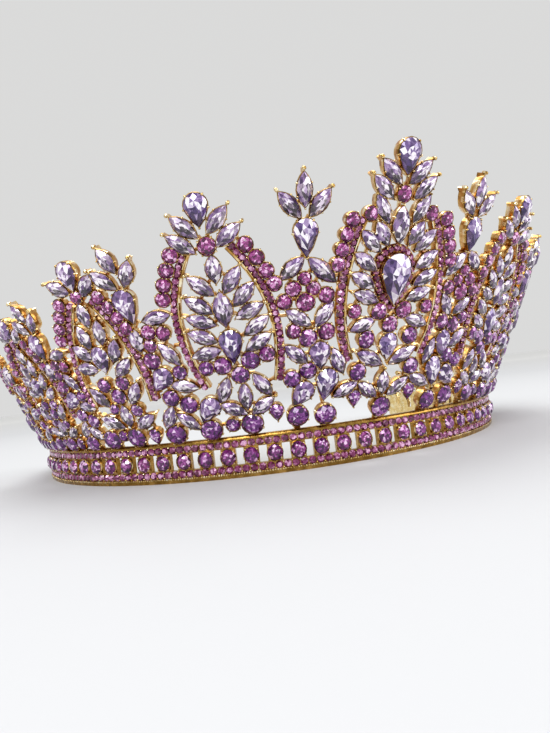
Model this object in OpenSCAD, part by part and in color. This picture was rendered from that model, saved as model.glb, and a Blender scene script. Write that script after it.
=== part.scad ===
// Open-backed pageant crown: one soldered gold frame, set with faceted stones.
// Millimetres, +Z up, the front faces -Y. The origin is on the ring's axis, at the band's lower edge.

/* [Band] */
// Radius to the outer face of the band
band_r = 75; // [71:0.5:79]
// Thickness of the band, from its inner to its outer face
band_t = 1.3; // [1.1:0.1:1.8]
// Height of the band
band_h = 9.6; // [9.2:0.1:10.4]
// Angle from the front of the crown to each open end of the band
band_end = 112; // [110:1:118]
// How far the two plain edges of the band stand out from its outer face
edge_out = 0.4; // [0.2:0.05:0.6]
// Height of the plain lower edge
lower_edge_h = 1.1; // [0.9:0.1:1.4]
// Height of the plain upper ledge
ledge_h = 0.9; // [0.7:0.1:1.1]
// Depth of the two grooves that hold the rows of tiny stones
groove_d = 0.35; // [0.2:0.05:0.5]
// Height of each of those grooves
groove_h = 1.75; // [1.6:0.05:1.85]

/* [Band windows] */
// Distance along the band from one large band stone to the next
seat_pitch = 5.45; // [5.2:0.05:5.9]
// How far the row of band stones stands off the front line, along the band
seat_shift = 1.2; // [0:0.1:2.7]
// Width of each window between two band stones
window_w = 1.9; // [1.6:0.05:2.2]
// Metal left above and below each window, up to the grooves
window_margin = 0.1; // [0.05:0.05:0.3]

/* [Wall] */
// Height of the front motif, measured up the sloping wall
wall_h = 63; // [58:0.5:68]
// Lean of the wall, outwards from upright
flare = 24.6; // [20:0.2:28]
// Thickness of the cast openwork
plate_t = 1.4; // [1.1:0.1:1.8]
// Setback of the wall's foot from the outer face of the band
wall_setback = 0.6; // [0.4:0.05:0.9]
// Rim of metal that shows around each stone
rim = 0.32; // [0.2:0.02:0.4]
// Width of the struts that join neighbouring settings
strut_w = 0.9; // [0.7:0.05:1.1]
// Longest strut, from the middle of one setting to the middle of the next
strut_reach = 5.6; // [5.2:0.1:6.2]
// Chinks narrower than twice this are cast solid
chink = 0.6; // [0.5:0.02:0.66]
// Height of the raised inner edge of each arch
arch_relief = 0.9; // [0.6:0.05:1.2]

/* [Stones] */
// Clearance between a stone and the metal under it
seat_gap = 0.15; // [0.1:0.01:0.25]
// Depth of a stone under its widest line: a fixed part
pavilion_base = 0.7; // [0.6:0.05:0.8]
// Depth of a stone under its widest line: the share of its width that is added
pavilion_share = 0.12; // [0.1:0.01:0.14]
// Height of a stone above its widest line: a fixed part
crown_base = 0.35; // [0.3:0.05:0.5]
// Height of a stone above its widest line: the share of its width that is added
crown_share = 0.15; // [0.12:0.01:0.18]
// Share of a stone's outline that its flat table takes
table_share = 0.56; // [0.5:0.02:0.62]

/* [Hidden] */
// The charts below count in steps: across, 75 to the band's radius; up, 63 to the wall's height.
ACROSS = band_r / 75;
UP = wall_h / 63;
foot_r = band_r - wall_setback;
CUTTER = 6;
ROUND_SIDES = 10;

// Cuts: name, outline, length and width in chart steps
LEAF = ["leaf", "marquise", 6.1, 2.7];
SHORT_LEAF = ["short_leaf", "marquise", 5.4, 2.9];
LONG_LEAF = ["long_leaf", "marquise", 7.3, 3.0];
BROAD_LEAF = ["broad_leaf", "marquise", 7.1, 3.8];
PEAR = ["pear", "pear", 6.3, 4.6];
TALL_PEAR = ["tall_pear", "pear", 7.6, 4.9];
CREST_PEAR = ["crest_pear", "pear", 6.9, 5.1];
DROP = ["drop", "pear", 11, 7.2];
BALL = ["ball", "round", 4.5, 4.5];

// Charts, one row to a stone: cut, across, up, turn of its long axis in degrees, name if it is a main
// stone, and 1 if the plain hidden motifs at the back keep it. Across counts towards the crown's front.
FRONT_MIDDLE = [
    [BALL, 0, 3.3, 90, "foot_stone", 1],
    [SHORT_LEAF, 0, 9.5, 90, "", 1],
    [PEAR, 0, 18.5, 90, "lower_pear", 1],
    [DROP, 0, 33.9, 90, "drop", 1],
    [BROAD_LEAF, 0, 45.4, 90, "leaf", 1],
    [CREST_PEAR, 0, 58.9, 90, "top_pear", 1]
];
FRONT_SIDE = [
    [LONG_LEAF, 4.3, 15.9, 27, "", 1],
    [LEAF, 6.9, 24, -20, "", 1],
    [LEAF, 4.1, 8.1, 37, "", 1],
    [LEAF, 9.9, 9.0, -26, "", 1],
    [LEAF, 6.8, 42.1, 42, "", 1],
    [LEAF, 7.7, 37.9, 34, "", 1],
    [LEAF, 7.9, 33.9, 28, "", 1],
    [LEAF, 6.7, 30.2, 20, "", 1],
    [SHORT_LEAF, 4.2, 43.6, 56, "", 1],
    [LEAF, 4.7, 48.6, 58, "", 1],
    [LEAF, 5.0, 52.9, 42, "", 1],
    [LEAF, 3.4, 55.9, 44, "", 1]
];
SPIRE_1 = [
    [LEAF, 0.2, 53.1, 90, "", 1],
    [LEAF, -2.9, 50.4, -50, "", 1],
    [LEAF, 3.3, 50.4, 50, "", 1],
    [TALL_PEAR, 0.1, 43.8, 90, "spire_pear", 1],
    [LEAF, -3.0, 37.8, 40, "", 1],
    [LONG_LEAF, 3.4, 36.9, -44, "", 1],
    [LEAF, -2.0, 27.1, -36, "", 1],
    [LEAF, 3.6, 27.4, 54, "", 1],
    [LEAF, -2.8, 18.8, -43, "", 1],
    [PEAR, 2.4, 18.1, 90, "", 1],
    [LEAF, 6.5, 16.2, -70, "", 1],
    [PEAR, -2.0, 9.3, 51, "", 1],
    [TALL_PEAR, 3.7, 10.9, 78, "low_pear", 1],
    [BALL, -3.1, 3.9, 90, "", 1],
    [BALL, 3.4, 3.3, 90, "", 1]
];
ARCH_1 = [
    [PEAR, -1.6, 51.6, 90, "top_pear", 1],
    [LEAF, -4.8, 48.5, -44, "", 1],
    [LEAF, 1.9, 49.2, 46, "", 1],
    [LEAF, -6.1, 45.3, -38, "", 1],
    [LEAF, 3.6, 46.0, 36, "", 1],
    [SHORT_LEAF, -0.4, 39.6, 90, "", 1],
    [LEAF, 2.8, 36.9, 53, "", 1],
    [LEAF, 4.8, 33.6, 43, "", 1],
    [LEAF, 5.5, 29.9, 22, "", 1],
    [LEAF, 6.4, 26.5, 33, "", 1],
    [LEAF, 6.3, 22.8, 29, "", 1],
    [LEAF, -3.7, 36.4, -42, "", 1],
    [LEAF, -4.8, 32.3, -36, "", 1],
    [LEAF, -5.0, 28.9, -21, "", 1],
    [LEAF, -5.4, 25.4, -26, "", 1],
    [LEAF, -5.2, 21.6, 8, "", 1],
    [BROAD_LEAF, 0, 31.0, 90, "leaf", 1],
    [TALL_PEAR, 0.4, 22.5, 90, "plume_pear", 1],
    [LEAF, 1.5, 10.3, 90, "", 1],
    [LEAF, -3.0, 12.3, 65, "", 1],
    [LEAF, 5.7, 12.7, -60, "", 1],
    [LEAF, -1.7, 7.5, -28, "", 1],
    [LEAF, 5.0, 7.5, 35, "", 1],
    [PEAR, -7.2, 8.1, 56, "", 1],
    [BALL, -7.5, 2.9, 90, "", 1],
    [BALL, 2.0, 3.3, 90, "", 1]
];
SPIRE_2 = [
    [SHORT_LEAF, -5.0, 44.8, -65, "", 0],
    [SHORT_LEAF, -1.5, 41.5, 64, "", 0],
    [LEAF, -7.2, 40.9, -42, "", 0],
    [TALL_PEAR, -3.8, 34.6, 98, "spire_pear", 1],
    [SHORT_LEAF, -4.1, 27, -84, "", 1],
    [LEAF, 1.9, 31.2, 5, "", 0],
    [LEAF, 2.4, 22.6, -57, "", 0],
    [LEAF, 3.6, 14.6, -14, "", 0],
    [PEAR, -1.2, 16.9, 48, "belly_pear", 1],
    [LEAF, -2.3, 7.2, 61, "", 1],
    [LEAF, 2.1, 5.7, -45, "", 0],
    [BALL, -1.9, 2.7, 90, "", 1]
];
ARCH_2 = [
    [PEAR, 0.2, 43.6, 90, "top_pear", 1],
    [SHORT_LEAF, -3.9, 41.4, -30, "", 1],
    [SHORT_LEAF, 3.6, 40.8, 45, "", 1],
    [SHORT_LEAF, -0.1, 34.6, 90, "", 1],
    [SHORT_LEAF, -2.6, 29.6, -80, "", 0],
    [SHORT_LEAF, 2.1, 30.1, 80, "", 0],
    [SHORT_LEAF, -4.7, 26, -42, "", 0],
    [SHORT_LEAF, 3.9, 25.3, 62, "", 0],
    [SHORT_LEAF, -5.3, 22.1, -12, "", 1],
    [LEAF, 4.3, 21.0, 36, "", 1],
    [PEAR, -0.4, 23.8, 90, "plume_pear", 1],
    [LEAF, 4.5, 14.4, 53, "", 0],
    [LEAF, -5.5, 14.4, -56, "", 0],
    [SHORT_LEAF, -0.2, 8.9, 90, "", 1],
    [LEAF, 4.4, 6.9, 28, "", 0],
    [LEAF, -4.9, 7.5, -30, "", 0],
    [BALL, 0.1, 2.9, 90, "", 1],
    [BALL, -7.2, 2.9, 90, "", 1]
];
TAIL = [
    [PEAR, 0, 9.2, 270, "", 1],
    [BALL, 0, 3.2, 90, "", 1]
];

// Seats of the small round stones, which are set as part of the finish: across, up, diameter
FRONT_MIDDLE_SEATS = [[0, 23.6, 3.5], [0, 51.6, 3.0]];
FRONT_SIDE_SEATS = [
    [3.2, 26.8, 3.5], [9.3, 27.2, 2.7], [5.7, 20.5, 3.6], [7.1, 12.9, 3.6], [7.4, 6.7, 3.0], [7.5, 47.7, 2.7]
];
SPIRE_1_SEATS = [
    [-0.4, 35.5, 2.4], [-2.9, 33.5, 2.9], [1.4, 33.2, 2.6], [-4.9, 30.9, 2.8], [-0.4, 30.5, 3.6],
    [4.2, 31.5, 3.0], [-3.2, 24.2, 2.8], [-0.1, 22.4, 3.6], [4.0, 23.4, 3.3], [-0.3, 14.8, 3.4], [-4.0, 13.2, 3.4]
];
ARCH_1_SEATS = [
    [-0.9, 44.3, 3.3], [-2.3, 18.3, 3.5], [-5.9, 18.2, 2.9], [1.2, 15.7, 3.5], [4.0, 18.9, 3.6],
    [7.7, 19.8, 3.1], [-2.5, 3.5, 2.8], [7.9, 5.7, 3.0]
];
SPIRE_2_SEATS = [
    [-0.8, 28.3, 2.9], [2.5, 27.6, 2.8], [-1.3, 25.2, 2.6], [-2.0, 21.7, 3.6], [3.5, 18.1, 2.8],
    [-0.4, 12.1, 3.5], [3.4, 10.0, 3.7]
];
ARCH_2_SEATS = [
    [0, 38.8, 2.6], [-2.8, 17.4, 3.1], [2.6, 17.5, 3.1], [0, 14.2, 3.4], [-2.8, 11.0, 2.3], [3.3, 10.1, 2.7],
    [-3.55, 3.6, 2.3], [5.5, 3.0, 2.9]
];
TAIL_SEATS = [[-2.5, 6.1, 2.0], [2.5, 6.1, 2.0], [0, 13.9, 2.4]];

// Arches: half width, height of the widest place, radius of the bow above it and below it, foot, top,
// across of the axis at its foot, lean of the axis, lowest and highest outer stone
FRONT_ARCH = [12.65, 30, 40, 34, 15.6, 46.8, 0, 0, 37.2, 45.7];
ARCH_1_BOW = [10.65, 27, 24.5, 42, 13, 44.2, 2.3, 0.075, 34.2, 42.4];
ARCH_2_BOW = [9.3, 18, 30.5, 60, 11.8, 37.6, 0, 0, 29.2, 36.6];
OUTER_STONES = 4;
OUTER_D = 2.7;
OUTER_ROW = 2.2;
ARCH_STEPS = 9;
ARCH_OUT = 0.75;
ARCH_IN = 1.45;
RELIEF_W = 0.75;
LEG_REACH = 3.9;

// The ring of tiny stones round the drop
HALO_W = 1.75;

// Horizontal ties from each spire to the arch legs beside it: up, ends across
SPIRE_1_TIES = [[35.2, -9.4, 7.2], [27.6, -7.6, 7.2], [15.2, -7, 7.6]];
SPIRE_2_TIES = [[31.0, -8.4, 6.4], [24.0, -8.0, 6.2], [13.6, -6.4, 8.2]];
TAIL_TIES = [[2.6, -5.6, 5.6]];
NO_TIES = [];

// Motifs on each side of the front: name, chart, seats, arch, ties, angle from the front, width and
// height as shares of the charted motif, and 1 where it can't be seen and keeps its plain stones only
SIDE_MOTIFS = [
    ["spire_1", SPIRE_1, SPIRE_1_SEATS, [], SPIRE_1_TIES, 13, 1, 1, 0],
    ["arch_1", ARCH_1, ARCH_1_SEATS, ARCH_1_BOW, NO_TIES, 24.6, 1, 1, 0],
    ["spire_2", SPIRE_2, SPIRE_2_SEATS, [], SPIRE_2_TIES, 35.4, 1, 1, 0],
    ["arch_2", ARCH_2, ARCH_2_SEATS, ARCH_2_BOW, NO_TIES, 45, 1, 1, 0],
    ["spire_3", SPIRE_2, SPIRE_2_SEATS, [], SPIRE_2_TIES, 55.1, 0.86, 0.86, 0],
    ["arch_3", ARCH_2, ARCH_2_SEATS, ARCH_2_BOW, NO_TIES, 63.7, 0.86, 0.83, 0],
    ["spire_4", SPIRE_2, SPIRE_2_SEATS, [], SPIRE_2_TIES, 72.1, 0.8, 0.72, 1],
    ["arch_4", ARCH_2, ARCH_2_SEATS, ARCH_2_BOW, NO_TIES, 80.1, 0.76, 0.69, 1]
];
TAIL_COUNT = 5;
TAIL_FROM = 88.2;
TAIL_STEP = 5.2;
TAIL_FALL = 0.08;

FOOT_W = 1.5;
FOOT_DEEP = 0.7;
PEAR_BULGE = 0.035;
HEAD_POINTS = 3;
BAND_SIDES = 240;
END_MARGIN = 2.6;

// The front motif and the tails have the same columns as the motifs at the sides.
function flipped(chart) = [for (r = chart) [r[0], -r[1], r[2], 180 - r[3], r[4], r[5]]];
function flipped_seats(seats) = [for (s = seats) [-s[0], s[1], s[2]]];
FRONT = [
    "front", concat(FRONT_MIDDLE, FRONT_SIDE, flipped(FRONT_SIDE)),
    concat(FRONT_MIDDLE_SEATS, FRONT_SIDE_SEATS, flipped_seats(FRONT_SIDE_SEATS)),
    FRONT_ARCH, NO_TIES, 0, 1, 1, 0
];
TAILS = [
    for (i = [0:TAIL_COUNT - 1])
        [str("tail_", i + 1), TAIL, TAIL_SEATS, [], TAIL_TIES, TAIL_FROM + i * TAIL_STEP,
            1 - TAIL_FALL * i, 1 - TAIL_FALL * i, 0]
];
SIDES = [["left", -1], ["right", 1]];

// Columns of a motif and of a chart row, in words
function across(m) = m[6] * ACROSS;
function up(m) = m[7] * UP;
function kept(m) = [for (r = m[1]) if (m[8] == 0 || r[5] == 1) r];
function is_main(r) = r[4] != "";
function spot(m, x, y) = [x * across(m), y * up(m)];
function turned(p, a) = [p[0] * cos(a) - p[1] * sin(a), p[0] * sin(a) + p[1] * cos(a)];

// Outlines, long axis along X. The tip of a pear points to -X.
function marquise(l, w) = concat(
    [for (x = [1, 0.5, 0, -0.5]) [x * l / 2, (1 - x * x) * w / 2]],
    [for (x = [-1, -0.5, 0, 0.5]) [x * l / 2, -(1 - x * x) * w / 2]]
);
function pear(l, w) =
    let (
        r = w / 2,
        c = l / 2 - r,
        a = 180 - acos(r / (l - r)),
        side = [(c + r * cos(a) - l / 2) / 2, r * sin(a) / 2] + PEAR_BULGE * l * [cos(a), sin(a)]
    )
    concat(
        [for (k = [-HEAD_POINTS:HEAD_POINTS]) [c + r * cos(a * k / HEAD_POINTS), r * sin(a * k / HEAD_POINTS)]],
        [side, [-l / 2, 0], [side[0], -side[1]]]
    );
function ring(d) = [for (k = [0:ROUND_SIDES - 1]) d / 2 * [cos(k * 360 / ROUND_SIDES), sin(k * 360 / ROUND_SIDES)]];
function cut_outline(c) = c[1] == "marquise" ? marquise(c[2], c[3]) : c[1] == "pear" ? pear(c[2], c[3]) : ring(c[2]);
function stone_outline(m, r) = [
    for (p = cut_outline(r[0])) let (q = turned(p, r[3])) spot(m, r[1] + q[0], r[2] + q[1])
];
function seat_outline(m, s) = [for (p = ring(s[2])) spot(m, s[0] + p[0], s[1] + p[1])];

// Arches: across of a leg at a height, its slope there, and the points of a strip beside it
function bow_half(b, y) = b[0] - pow(y - b[1], 2) / (2 * (y > b[1] ? b[2] : b[3]));
function bow_across(b, side, y) = b[6] - b[7] * y + side * bow_half(b, y);
function bow_out(b, side, y) =
    let (slope = side * (bow_across(b, side, y + 0.1) - bow_across(b, side, y - 0.1)) / 0.2)
    [side, -slope] / norm([1, slope]);
function bow_point(b, side, y, out) = [bow_across(b, side, y), y] + out * bow_out(b, side, y);
function bow_heights(b) = [for (k = [0:ARCH_STEPS]) b[4] + (b[5] - b[4]) * k / ARCH_STEPS];
function bow_strip(m, b, side, from, to) = concat(
    [for (y = bow_heights(b)) let (p = bow_point(b, side, y, from)) spot(m, p[0], p[1])],
    [for (k = [ARCH_STEPS:-1:0]) let (p = bow_point(b, side, bow_heights(b)[k], to)) spot(m, p[0], p[1])]
);
function outer_seats(b) = [
    for (side = [-1, 1], k = [0:OUTER_STONES - 1])
        let (p = bow_point(b, side, b[8] + (b[9] - b[8]) * k / (OUTER_STONES - 1), OUTER_ROW))
        [p[0], p[1], OUTER_D]
];
function all_seats(m) = concat(m[2], len(m[3]) > 0 ? outer_seats(m[3]) : []);

// Middles of everything that a strut may join, and points of the arch legs
function middles(m) = concat(
    [for (r = kept(m)) spot(m, r[1], r[2])],
    [for (s = all_seats(m)) spot(m, s[0], s[1])]
);
function leg_points(m) = len(m[3]) == 0 ? [] : [
    for (side = [-1, 1], y = bow_heights(m[3])) let (p = bow_point(m[3], side, y, 0)) spot(m, p[0], p[1])
];
function strip_between(a, b, w) =
    let (d = (b - a) / norm(b - a), n = [-d[1], d[0]] * w / 2) [a + n, a - n, b - n, b + n];

// Band angles
function seat_angle(k) = (seat_shift + k * seat_pitch) / band_r * 180 / PI;
function window_angles() =
    let (n = ceil(band_end / seat_angle(1)) + 1)
    [for (k = [-n:n]) let (a = seat_angle(k + 0.5)) if (abs(a) < band_end - END_MARGIN) a];

module band_profile() {
    inner = band_r - band_t;
    lower = lower_edge_h + groove_h;
    ledge = band_h - ledge_h;
    upper = ledge - groove_h;
    polygon([
        [inner, 0], [band_r + edge_out, 0], [band_r + edge_out, lower_edge_h], [band_r - groove_d, lower_edge_h],
        [band_r - groove_d, lower], [band_r, lower], [band_r, upper], [band_r - groove_d, upper],
        [band_r - groove_d, ledge], [band_r + edge_out, ledge], [band_r + edge_out, band_h], [inner, band_h]
    ]);
}

module window_shape() {
    square([window_w, band_h - ledge_h - lower_edge_h - 2 * (groove_h + window_margin)], center = true);
}

module band() {
    difference() {
        rotate([0, 0, -90 - band_end])
            rotate_extrude(angle = 2 * band_end, $fn = BAND_SIDES) band_profile();
        for (a = window_angles())
            rotate([0, 0, a])
                translate([0, -band_r, (lower_edge_h + band_h - ledge_h) / 2])
                    rotate([90, 0, 0])
                        linear_extrude(CUTTER, center = true) window_shape();
    }
}

module on_wall(angle) {
    rotate([0, 0, angle])
        translate([0, -foot_r, band_h])
            rotate([90 + flare, 0, 0])
                children();
}

module on_side(m, side) {
    on_wall(side * m[5])
        mirror([side > 0 ? 1 : 0, 0, 0])
            children();
}

module footprint(m) {
    places = middles(m);
    for (r = kept(m)) {
        polygon(stone_outline(m, r));
        if (r[0] == DROP)
            offset(delta = HALO_W) polygon(stone_outline(m, r));
        if (r[0] == BALL)
            polygon(strip_between(spot(m, r[1], r[2]), [r[1] * across(m), -FOOT_DEEP], FOOT_W));
    }
    for (s = all_seats(m))
        polygon(seat_outline(m, s));
    for (i = [0:len(places) - 1], j = [0:len(places) - 1])
        if (i < j && norm(places[i] - places[j]) < strut_reach * across(m))
            polygon(strip_between(places[i], places[j], strut_w));
    for (p = places, q = leg_points(m))
        if (norm(p - q) < LEG_REACH * across(m))
            polygon(strip_between(p, q, strut_w));
    if (len(m[3]) > 0)
        for (side = [-1, 1])
            polygon(bow_strip(m, m[3], side, ARCH_OUT, -ARCH_IN));
    for (t = m[4])
        polygon(strip_between(spot(m, t[1], t[0]), spot(m, t[2], t[0]), strut_w));
}

module panel(m) {
    translate([0, 0, -plate_t])
        linear_extrude(plate_t)
            offset(delta = -chink, chamfer = true)
                offset(delta = rim + chink)
                    footprint(m);
    if (len(m[3]) > 0)
        for (side = [-1, 1])
            translate([0, 0, -plate_t / 2])
                linear_extrude(plate_t / 2 + arch_relief)
                    polygon(bow_strip(m, m[3], side, RELIEF_W - ARCH_IN, -ARCH_IN));
}

module crown_metal() {
    color("goldenrod") {
        band();
        on_wall(0) panel(FRONT);
        for (s = SIDES, m = concat(SIDE_MOTIFS, TAILS))
            on_side(m, s[1]) panel(m);
    }
}

module stone(m, r) {
    edge = stone_outline(m, r);
    n = len(edge);
    mid = spot(m, r[1], r[2]);
    w = r[0][3] * min(across(m), up(m));
    girdle = seat_gap + pavilion_base + pavilion_share * w;
    top = girdle + crown_base + crown_share * w;
    color(r[0] == BALL ? "mediumorchid" : "thistle")
        polyhedron(
            points = concat(
                [[mid[0], mid[1], seat_gap]],
                [for (p = edge) [p[0], p[1], girdle]],
                [for (p = edge) let (q = mid + table_share * (p - mid)) [q[0], q[1], top]]
            ),
            faces = concat(
                [for (k = [0:n - 1]) [0, 1 + k, 1 + (k + 1) % n]],
                [for (k = [0:n - 1]) [1 + k, 1 + n + k, 1 + n + (k + 1) % n, 1 + (k + 1) % n]],
                [[for (k = [n - 1:-1:0]) 1 + n + k]]
            )
        );
}

module stones_of(m) {
    for (r = kept(m))
        if (!is_main(r)) stone(m, r);
}

module tail_stones(side) {
    for (m = TAILS)
        on_side(m, side) stones_of(m);
}

// Node names
function main_rows(m) = [for (r = kept(m)) if (is_main(r)) r];
function front_name(r) = str("front_", r[4]);
function side_name(s, m, r) = str(s[0], "_", m[0], "_", r[4]);
function field_name(s, m) = str(s[0], "_", m[0], "_stones");

crown_metal();
on_wall(0) stones_of(FRONT);  // front_stones
for (r = main_rows(FRONT))
    on_wall(0) stone(FRONT, r);
for (s = SIDES, m = SIDE_MOTIFS, r = main_rows(m))
    on_side(m, s[1]) stone(m, r);
for (s = SIDES, m = SIDE_MOTIFS)
    on_side(m, s[1]) stones_of(m);
for (s = SIDES)
    tail_stones(s[1]);
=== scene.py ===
"""Looks of a gold pageant crown set with lavender and amethyst stones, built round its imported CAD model."""

import logging
import math
from collections.abc import Callable, Sequence
from dataclasses import dataclass, field, replace
from enum import Enum

import bmesh
import bpy
import numpy as np
from mathutils import Matrix, Vector


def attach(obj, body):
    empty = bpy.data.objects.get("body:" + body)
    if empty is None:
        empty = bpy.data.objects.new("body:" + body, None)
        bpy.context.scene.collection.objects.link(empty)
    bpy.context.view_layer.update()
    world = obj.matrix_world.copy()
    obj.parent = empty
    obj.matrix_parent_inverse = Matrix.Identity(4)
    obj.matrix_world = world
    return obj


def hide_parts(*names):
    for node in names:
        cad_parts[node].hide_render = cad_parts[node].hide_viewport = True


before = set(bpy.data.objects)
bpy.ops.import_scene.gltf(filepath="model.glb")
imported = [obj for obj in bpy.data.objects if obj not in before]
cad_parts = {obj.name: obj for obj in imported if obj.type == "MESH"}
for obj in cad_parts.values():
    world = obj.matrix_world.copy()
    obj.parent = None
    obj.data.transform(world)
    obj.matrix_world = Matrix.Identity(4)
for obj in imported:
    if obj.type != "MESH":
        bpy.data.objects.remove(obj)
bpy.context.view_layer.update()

LOG = logging.getLogger("crown")
MM = 0.001
STEPS = 16
BODY = "root"
SAME_POINT = 2e-6
TOUCH = 1e-4
PEAR_BULGE = 0.035
COARSE_QUARTER, COARSE_ROUND = 3, 10
PAVILION_BASE, PAVILION_SHARE = 0.7, 0.12
CROWN_BASE, CROWN_SHARE = 0.35, 0.15

Colour = tuple[float, float, float]
Stops = tuple[tuple[float, Colour], ...]


def turned(degrees: float, point: Sequence[float]) -> np.ndarray:
    """Turns a point about the ring's axis.

    Args:
        degrees: angle from the front, counted towards the crown's right.
        point: x, y, z.

    Returns:
        The turned point.
    """
    c, s = math.cos(math.radians(degrees)), math.sin(math.radians(degrees))
    x, y, z = point
    return np.array([c * x - s * y, s * x + c * y, z])


@dataclass(frozen=True)
class Place:
    """A flat place on the crown: millimetres across, up and out of it, in the row's frame."""

    origin: np.ndarray
    across: np.ndarray
    up: np.ndarray
    out: np.ndarray

    def put(self, points: np.ndarray) -> np.ndarray:
        """Takes points of the place, in millimetres, to the row's frame, in metres."""
        axes = np.stack([self.across, self.up, self.out])
        return (self.origin + points @ axes) * MM

    def read(self, points: np.ndarray) -> np.ndarray:
        """Takes points of the row's frame, in metres, to the place, in millimetres."""
        axes = np.stack([self.across, self.up, self.out])
        return (points / MM - self.origin) @ axes.T

    @property
    def flipped(self) -> bool:
        """Tells whether the place is a mirror image, which turns faces inside out."""
        return bool(np.dot(np.cross(self.across, self.up), self.out) < 0)


@dataclass(frozen=True)
class BandSizes:
    """Sizes of the band, in millimetres and degrees, as in the part's source."""

    radius: float = 75.0
    height: float = 9.6
    end: float = 112.0
    edge_out: float = 0.4
    groove_depth: float = 0.35
    seat_pitch: float = 5.45
    seat_shift: float = 1.2
    window_up: float = 4.9
    lower_row: float = 1.98
    upper_row: float = 7.82

    def place(self, along: float, up: float, out: float = 0.0) -> Place:
        """Gives a place on the band's outer face.

        Args:
            along: distance along the band from the front, towards the crown's right.
            up: height above the lower edge.
            out: distance out of the face.

        Returns:
            The place, with its out axis along the ring's radius.
        """
        angle = math.degrees(along / self.radius)
        return Place(
            turned(angle, (0, -self.radius - out, up)),
            turned(angle, (1, 0, 0)),
            np.array([0.0, 0.0, 1.0]),
            turned(angle, (0, -1, 0)),
        )

    def reach(self, margin: float) -> float:
        """Gives how far the band runs each way from the front, less a margin."""
        return math.radians(self.end) * self.radius - margin


BAND = BandSizes()


@dataclass(frozen=True)
class Motif:
    """One flat motif of the wall, and where it stands."""

    name: str
    chart: str
    angle: float = 0.0
    side: int = 0
    width: float = 1.0
    height: float = 1.0
    foot_radius: float = 74.4
    flare: float = 24.6

    @property
    def place(self) -> Place:
        """Gives the motif's plane: across counts towards the crown's front, up follows the slope."""
        f = math.radians(self.flare)
        a = self.side * self.angle
        return Place(
            turned(a, (0, -self.foot_radius, BAND.height)),
            turned(a, (-1 if self.side > 0 else 1, 0, 0)),
            turned(a, (0, -math.sin(f), math.cos(f))),
            turned(a, (0, -math.cos(f), -math.sin(f))),
        )

    def spot(self, across: float, up: float) -> np.ndarray:
        """Takes a charted point to millimetres on the motif's plane."""
        return np.array([across * self.width, up * self.height])


# Name, chart, angle from the front, and the width and height shares of the charted motif
SIDE_MOTIFS = (
    ("spire_1", "spire_1", 13.0, 1.0, 1.0),
    ("arch_1", "arch_1", 24.6, 1.0, 1.0),
    ("spire_2", "spire_2", 35.4, 1.0, 1.0),
    ("arch_2", "arch_2", 45.0, 1.0, 1.0),
    ("spire_3", "spire_2", 55.1, 0.86, 0.86),
    ("arch_3", "arch_2", 63.7, 0.86, 0.83),
    ("spire_4", "spire_2", 72.1, 0.8, 0.72),
    ("arch_4", "arch_2", 80.1, 0.76, 0.69),
)
TAIL_COUNT, TAIL_FROM, TAIL_STEP, TAIL_FALL = 5, 88.2, 5.2, 0.08
SIDES = (("left", -1), ("right", 1))

# Seats of the small round stones: across, up, diameter
SEATS = {
    "front": (
        (0, 23.6, 3.5), (0, 51.6, 3.0),
        (3.2, 26.8, 3.5), (9.3, 27.2, 2.7), (5.7, 20.5, 3.6), (7.1, 12.9, 3.6), (7.5, 47.7, 2.7),
        (-3.2, 26.8, 3.5), (-9.3, 27.2, 2.7), (-5.7, 20.5, 3.6), (-7.1, 12.9, 3.6), (-7.5, 47.7, 2.7),
    ),
    "spire_1": (
        (-0.4, 35.5, 2.4), (-2.9, 33.5, 2.9), (1.4, 33.2, 2.6), (-4.9, 30.9, 2.8), (-0.4, 30.5, 3.6),
        (4.2, 31.5, 3.0), (-3.2, 24.2, 2.8), (-0.1, 22.4, 3.6), (4.0, 23.4, 3.3), (-0.3, 14.8, 3.4),
        (-4.0, 13.2, 3.4),
    ),
    "arch_1": (
        (-0.9, 44.3, 3.3), (-2.3, 18.3, 3.5), (-5.9, 18.2, 2.9), (1.2, 15.7, 3.5), (4.0, 18.9, 3.6),
        (7.7, 19.8, 3.1), (-2.5, 3.5, 2.8),
    ),
    "spire_2": (
        (-0.8, 28.3, 2.9), (2.5, 27.6, 2.8), (-1.3, 25.2, 2.6), (-2.0, 21.7, 3.6), (3.5, 18.1, 2.8),
        (-0.4, 12.1, 3.5), (3.4, 10.0, 3.7),
    ),
    "arch_2": (
        (0, 38.8, 2.6), (-2.8, 17.4, 3.1), (2.6, 17.5, 3.1), (0, 14.2, 3.4), (-2.8, 11.0, 2.3),
        (3.3, 10.1, 2.7), (-3.55, 3.6, 2.3),
    ),
    "tail": ((-2.5, 6.1, 2.0), (2.5, 6.1, 2.0), (0, 13.9, 2.4)),
}
# Seats of the small drops that hang point down: across, up, width
HEARTS = {
    "front": ((7.4, 6.7, 3.0), (-7.4, 6.7, 3.0)),
    "arch_1": ((7.9, 5.7, 3.0),),
    "arch_2": ((5.5, 3.0, 2.9),),
}


# Horizontal ties from each spire to the arch legs beside it: up, ends across
TIES = {
    "spire_1": ((35.2, -9.4, 7.2), (27.6, -7.6, 7.2), (15.2, -7, 7.6)),
    "spire_2": ((31.0, -8.4, 6.4), (24.0, -8.0, 6.2), (13.6, -6.4, 8.2)),
    "tail": ((2.6, -5.6, 5.6),),
}


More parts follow.
